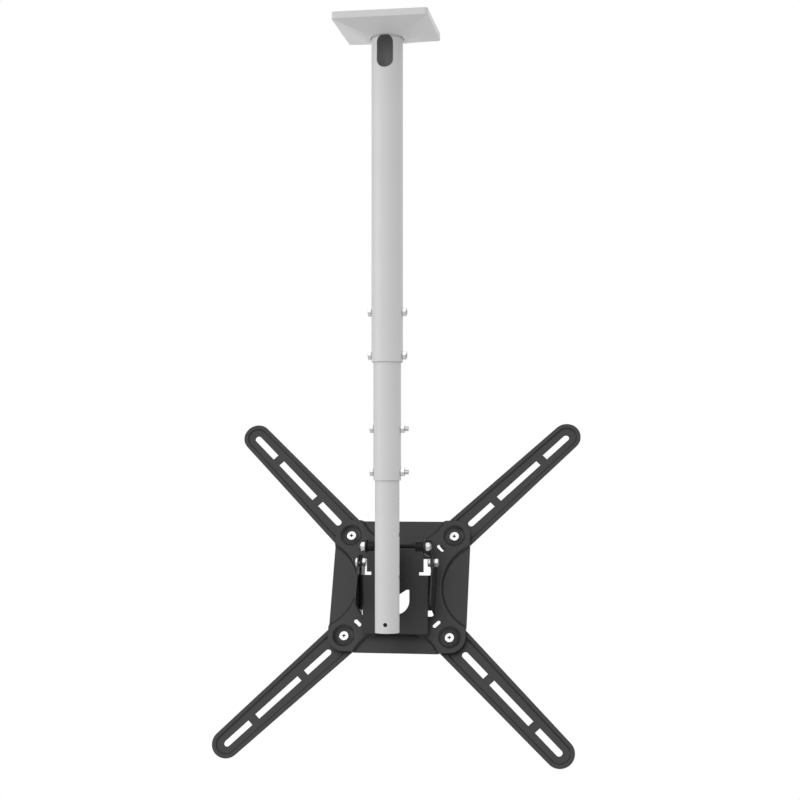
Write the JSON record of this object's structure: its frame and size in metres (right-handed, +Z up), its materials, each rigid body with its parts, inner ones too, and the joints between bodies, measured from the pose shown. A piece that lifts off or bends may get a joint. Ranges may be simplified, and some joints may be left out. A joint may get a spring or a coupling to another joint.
{
  "type": "tv ceiling mount",
  "caption": "Telescopic white ceiling pole with a square canopy and a black tilting plate whose slotted swivel arms carry a flat screen.",
  "frame": {"origin": "centre of the ceiling plate's top face, on the ceiling", "axes": "+Z up along the pole into the ceiling, +Y towards the screen, X along the tilt axis"},
  "size_m": [0.4472, 0.2391, 0.893],
  "materials": {
    "white_steel": "satin",
    "white_plastic": "satin",
    "black_steel": "matte",
    "zinc": "bright"
  },
  "bodies": {
    "pole": {"ceiling_plate": "white_steel", "upper_tube": "white_steel", "upper_joint_bolts": "zinc", "upper_joint_nuts": "zinc"},
    "cover": {"ceiling_cover": "white_plastic"},
    "middle": {"middle_tube": "white_steel", "lower_joint_bolts": "zinc", "lower_joint_nuts": "zinc"},
    "lower": {"lower_tube": "white_steel", "standoff": "black_steel", "tilt_yoke": "black_steel", "pivot_sleeves": "black_steel", "pivot_axle": "black_steel", "pivot_nuts": "zinc", "lock_bolts": "zinc", "lock_nuts": "zinc"},
    "screen_plate": {"vesa_plate": "black_steel", "arm_screws": "zinc", "arm_nuts": "zinc"},
    "arm_top_left": {"arm_tl": "black_steel"},
    "arm_top_right": {"arm_tr": "black_steel"},
    "arm_bottom_left": {"arm_bl": "black_steel"},
    "arm_bottom_right": {"arm_br": "black_steel"}
  },
  "joints": [
    {"name": "cover_slide", "type": "slide", "parent": "pole", "child": "cover", "axis": [0, 0, -1], "range_m": [0, 0.3]},
    {"name": "middle_extension", "type": "slide", "parent": "pole", "child": "middle", "axis": [0, 0, -1], "range_m": [0, 0.14]},
    {"name": "lower_extension", "type": "slide", "parent": "middle", "child": "lower", "axis": [0, 0, -1], "range_m": [0, 0.06]},
    {"name": "tilt", "type": "hinge", "parent": "lower", "child": "screen_plate", "pos_m": [0, 0.062, -0.632], "axis": [1, 0, 0], "range_deg": [-3, 22]},
    {"name": "swivel_tl", "type": "hinge", "parent": "screen_plate", "child": "arm_top_left", "pos_m": [-0.0665, 0.1152, -0.62071], "axis": [0, -0.9272, 0.3746], "range_deg": [-40, 40]},
    {"name": "swivel_tr", "type": "hinge", "parent": "screen_plate", "child": "arm_top_right", "pos_m": [0.0665, 0.1152, -0.62071], "axis": [0, -0.9272, 0.3746], "range_deg": [-40, 40]},
    {"name": "swivel_bl", "type": "hinge", "parent": "screen_plate", "child": "arm_bottom_left", "pos_m": [-0.0665, 0.06538, -0.74402], "axis": [0, -0.9272, 0.3746], "range_deg": [-40, 40]},
    {"name": "swivel_br", "type": "hinge", "parent": "screen_plate", "child": "arm_bottom_right", "pos_m": [0.0665, 0.06538, -0.74402], "axis": [0, -0.9272, 0.3746], "range_deg": [-40, 40]}
  ]
}
